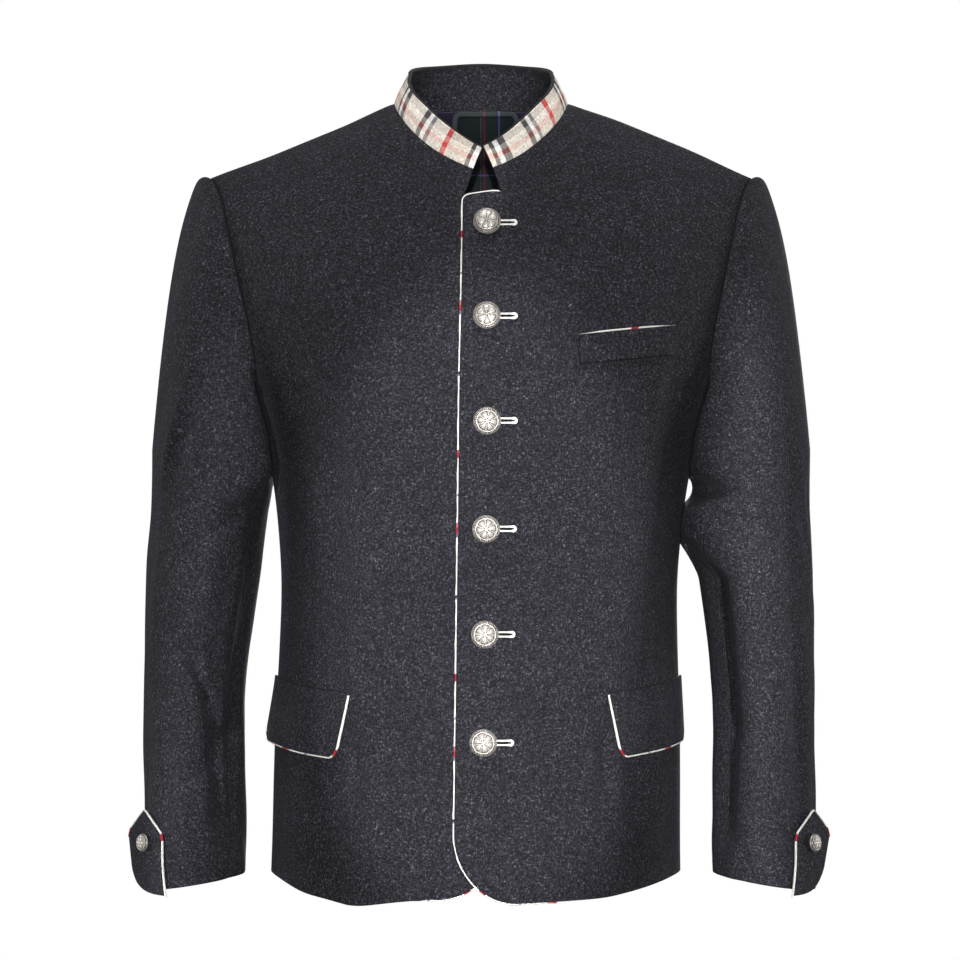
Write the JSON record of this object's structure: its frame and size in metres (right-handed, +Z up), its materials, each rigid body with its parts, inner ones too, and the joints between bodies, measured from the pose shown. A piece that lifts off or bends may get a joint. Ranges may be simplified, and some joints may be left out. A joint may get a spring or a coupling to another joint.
{
  "type": "tyrolean loden jacket",
  "caption": "Men's charcoal tyrolean loden jacket in its worn form, with a checked stand collar, domed buttons, piped edges and flap pockets.",
  "frame": {"origin": "midway between the two points where the shoulder seams meet the neck, where the wearer's shoulders hold the jacket", "axes": "+Z up along the body, -Y the way the wearer faces, +X to the wearer's left"},
  "size_m": [0.5984, 0.2768, 0.7253],
  "materials": {
    "loden": "flecked brushed wool",
    "check": "woven linen check",
    "piping": "woven check cut on the bias",
    "binding": "dark narrow cloth",
    "lining": "smooth dark plaid",
    "pewter": "satin cast pewter"
  },
  "bodies": {
    "root": {"back_left": "loden", "back_right": "loden", "button_1": "pewter", "button_2": "pewter", "button_3": "pewter", "button_4": "pewter", "button_5": "pewter", "button_6": "pewter", "buttonhole_1": "piping", "buttonhole_2": "piping", "buttonhole_3": "piping", "buttonhole_4": "piping", "buttonhole_5": "piping", "buttonhole_6": "piping", "chest_welt": "loden", "collar_binding": "binding", "collar_inner": "loden", "collar_outer": "check", "cuff_button_left": "pewter", "cuff_button_right": "pewter", "cuff_tab_left": "loden", "cuff_tab_right": "loden", "flap_piping_left": "piping", "flap_piping_right": "piping", "front_left": "loden", "front_piping_left": "piping", "front_piping_right": "piping", "front_right": "loden", "hanger_loop": "lining", "lining_back_left": "lining", "lining_back_right": "lining", "pocket_flap_left": "loden", "pocket_flap_right": "loden", "sleeve_top_left": "loden", "sleeve_top_right": "loden", "sleeve_under_left": "loden", "sleeve_under_right": "loden", "tab_piping_left": "piping", "tab_piping_right": "piping", "welt_piping": "piping"}
  },
  "joints": []
}
